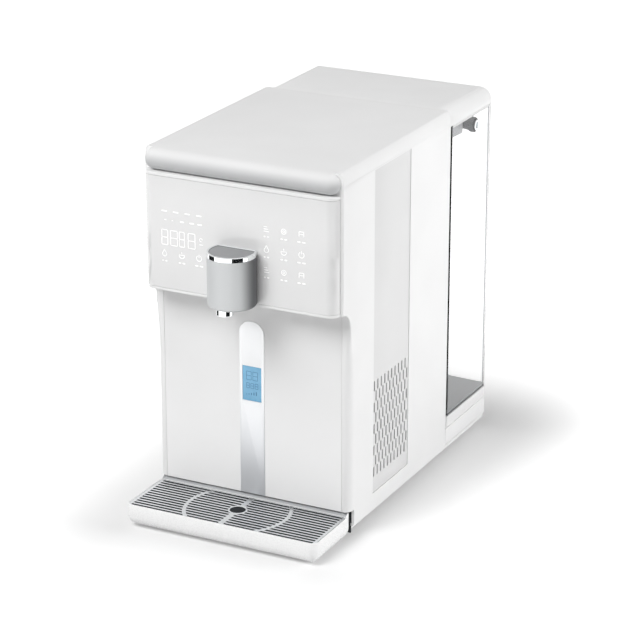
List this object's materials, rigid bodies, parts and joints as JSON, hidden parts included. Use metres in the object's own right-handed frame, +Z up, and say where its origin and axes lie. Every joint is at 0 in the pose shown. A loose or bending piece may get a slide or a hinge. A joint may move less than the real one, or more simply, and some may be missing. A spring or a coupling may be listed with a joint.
{
  "type": "reverse osmosis water purifier",
  "caption": "Countertop reverse osmosis water purifier with a touch control head, round spout, slotted drip tray, side vents and a clear lift-off water tank at the rear",
  "frame": {"origin": "centre of the footprint on the table, at the middle of the overall width and depth", "axes": "+Z up, -Y toward the user at the front, +X to the right seen from the front"},
  "size_m": [0.22, 0.417, 0.391],
  "materials": {
    "housing_white": "satin moulded ABS",
    "lens_grey": "high gloss acrylic, light grey behind",
    "trim_silver": "bright anodised strip",
    "bar_silver": "satin silver paint",
    "chrome": "polished plating",
    "plate_grey": "fine matt",
    "dark_plastic": "matt",
    "rubber": "soft, matt",
    "clear_plastic": "clear moulded, polished",
    "display_blue": "lit from behind",
    "filter_white": "plain moulding",
    "board_green": "solder resist",
    "motor_steel": "drawn steel",
    "chassis_metal": "plain sheet"
  },
  "bodies": {
    "purifier": {"outer_housing": "housing_white", "side_vent_left": "housing_white", "side_vent_right": "housing_white", "base_pan": "housing_white", "foot_pads": "rubber", "front_panel": "housing_white", "rear_wall": "housing_white", "rear_base": "housing_white", "head_frame": "housing_white", "fascia_lens": "lens_grey", "display_board": "board_green", "spout_column": "bar_silver", "spout_cap": "plate_grey", "spout_ring": "chrome", "nozzle_ring": "chrome", "nozzle_core": "filter_white", "trim_strip": "trim_silver", "lcd_window": "display_blue", "lcd_module": "dark_plastic", "dock_socket": "filter_white", "dock_seal": "rubber", "chassis": "chassis_metal", "sediment_filter": "filter_white", "membrane_filter": "filter_white", "carbon_filter": "filter_white", "filter_block": "plate_grey", "feed_valve": "dark_plastic", "booster_pump": "motor_steel", "pump_mounts": "rubber", "pure_tank": "filter_white", "dispense_pump": "dark_plastic", "heater": "chassis_metal", "water_tubes": "filter_white", "power_board": "board_green", "control_board": "board_green", "fan_frame": "dark_plastic", "cord_gland": "rubber", "case_screws": "motor_steel", "base_screws": "motor_steel"},
    "drip_tray": {"drip_tray": "housing_white", "tray_pads": "rubber"},
    "tray_grille": {"tray_grille": "bar_silver"},
    "tray_float": {"tray_float": "dark_plastic"},
    "tank": {"tank": "clear_plastic", "tank_floor": "plate_grey", "tank_valve_body": "filter_white", "tank_valve_nut": "filter_white", "tank_valve_spring": "motor_steel", "inlet_body": "dark_plastic", "inlet_nut": "dark_plastic"},
    "tank_valve_poppet": {"tank_valve_poppet": "dark_plastic"},
    "tank_lid": {"tank_lid": "housing_white", "tank_lid_seal": "rubber"},
    "level_float": {"float_lever": "plate_grey", "float_block": "plate_grey"},
    "inlet_collet": {"inlet_collet": "chrome"},
    "fan_rotor": {"fan_rotor": "dark_plastic"}
  },
  "joints": [
    {"name": "tray_slide", "type": "slide", "parent": "purifier", "child": "drip_tray", "axis": [0, -1, 0], "range_m": [0, 0.12]},
    {"name": "grille_lift", "type": "slide", "parent": "drip_tray", "child": "tray_grille", "axis": [0, 0, 1], "range_m": [0, 0.06]},
    {"name": "tray_float_rise", "type": "slide", "parent": "drip_tray", "child": "tray_float", "axis": [0, 0, 1], "range_m": [0, 0.006]},
    {"name": "tank_lift", "type": "slide", "parent": "purifier", "child": "tank", "axis": [0, 0, 1], "range_m": [0, 0.1]},
    {"name": "tank_lid_lift", "type": "slide", "parent": "tank", "child": "tank_lid", "axis": [0, 0, 1], "range_m": [0, 0.06]},
    {"name": "outlet_valve_close", "type": "slide", "parent": "tank", "child": "tank_valve_poppet", "axis": [0, 0, -1], "range_m": [0, 0.0037], "deforming": ["tank_valve_spring"]},
    {"name": "float_drop", "type": "hinge", "parent": "tank", "child": "level_float", "pos_m": [0.089, 0.1681, 0.3584], "axis": [1, 0, 0], "range_deg": [0, 60], "stiffness_Nm_per_rad": 0.3},
    {"name": "collet_press", "type": "slide", "parent": "tank", "child": "inlet_collet", "axis": [-1, 0, 0], "range_m": [0, 0.0012]},
    {"name": "fan_spin", "type": "hinge", "parent": "purifier", "child": "fan_rotor", "pos_m": [0.095, -0.03995, 0.10095], "axis": [1, 0, 0], "continuous": true}
  ],
  "couplings": [
    {"joint": "outlet_valve_close", "follows": "tank_lift", "ratio": 0.037}
  ]
}
